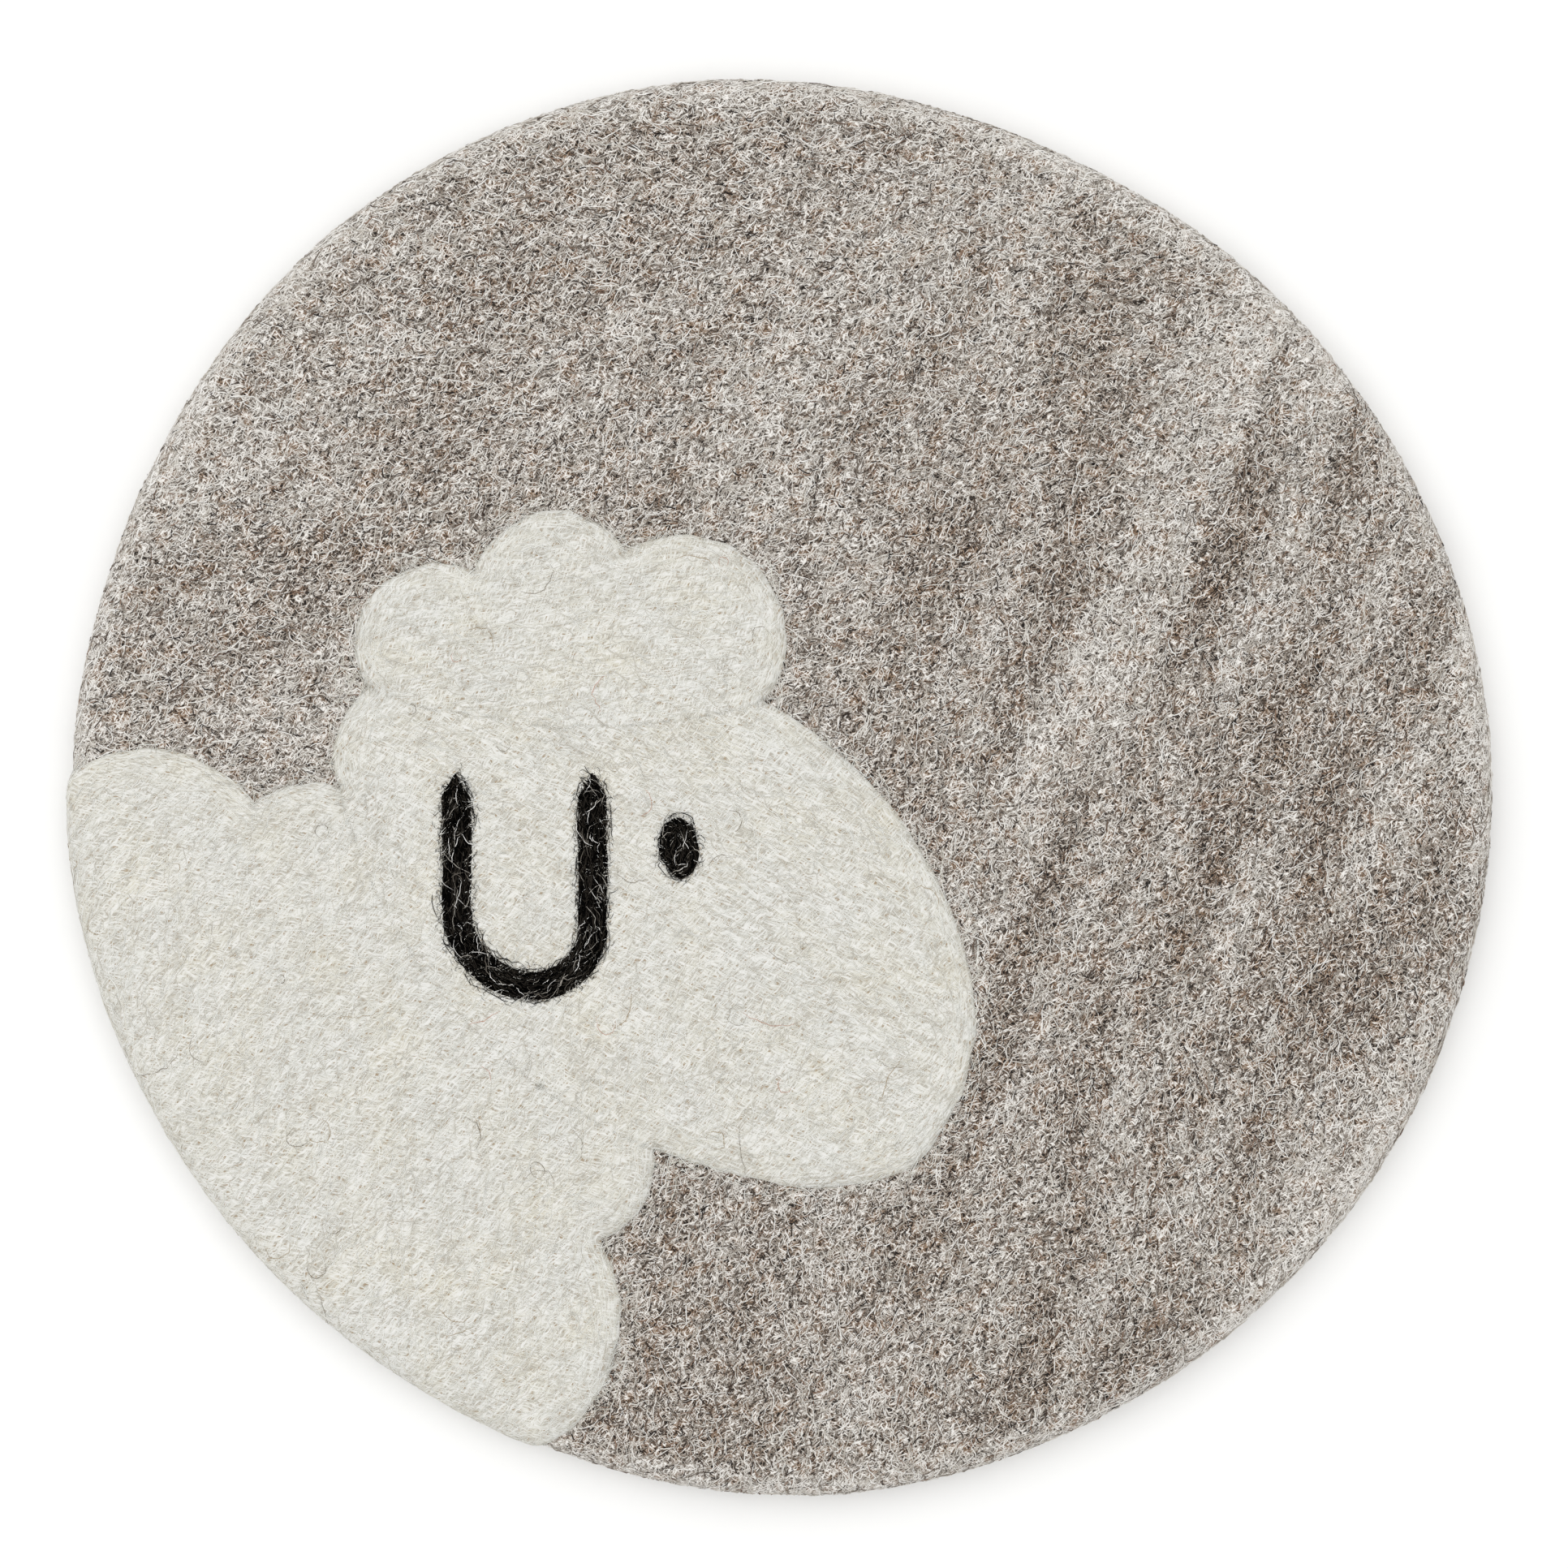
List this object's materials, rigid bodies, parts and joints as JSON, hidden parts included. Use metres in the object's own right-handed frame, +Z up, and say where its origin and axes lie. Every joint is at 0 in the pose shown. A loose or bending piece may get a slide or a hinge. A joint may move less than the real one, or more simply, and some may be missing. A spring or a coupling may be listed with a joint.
{
  "type": "felt trivet",
  "caption": "Round thick wool-felt trivet with a white sheep felted into its grey top, for resting hot pots on a table.",
  "frame": {"origin": "centre of the round pad's underside", "axes": "+Z up out of the motif's face, +Y towards the top of the sheep's head, +X the way the sheep looks"},
  "size_m": [0.21, 0.21, 0.0108],
  "materials": {
    "grey_wool": "heathered wet-felted wool, matt and fibrous",
    "white_wool": "natural white wet-felted wool, matt and fibrous",
    "black_wool": "black felted wool strand, matt and fibrous"
  },
  "bodies": {
    "root": {"felt_base": "grey_wool", "sheep_body": "white_wool", "sheep_head": "white_wool", "fleece_cap": "white_wool", "ear": "black_wool", "eye": "black_wool"}
  },
  "joints": []
}
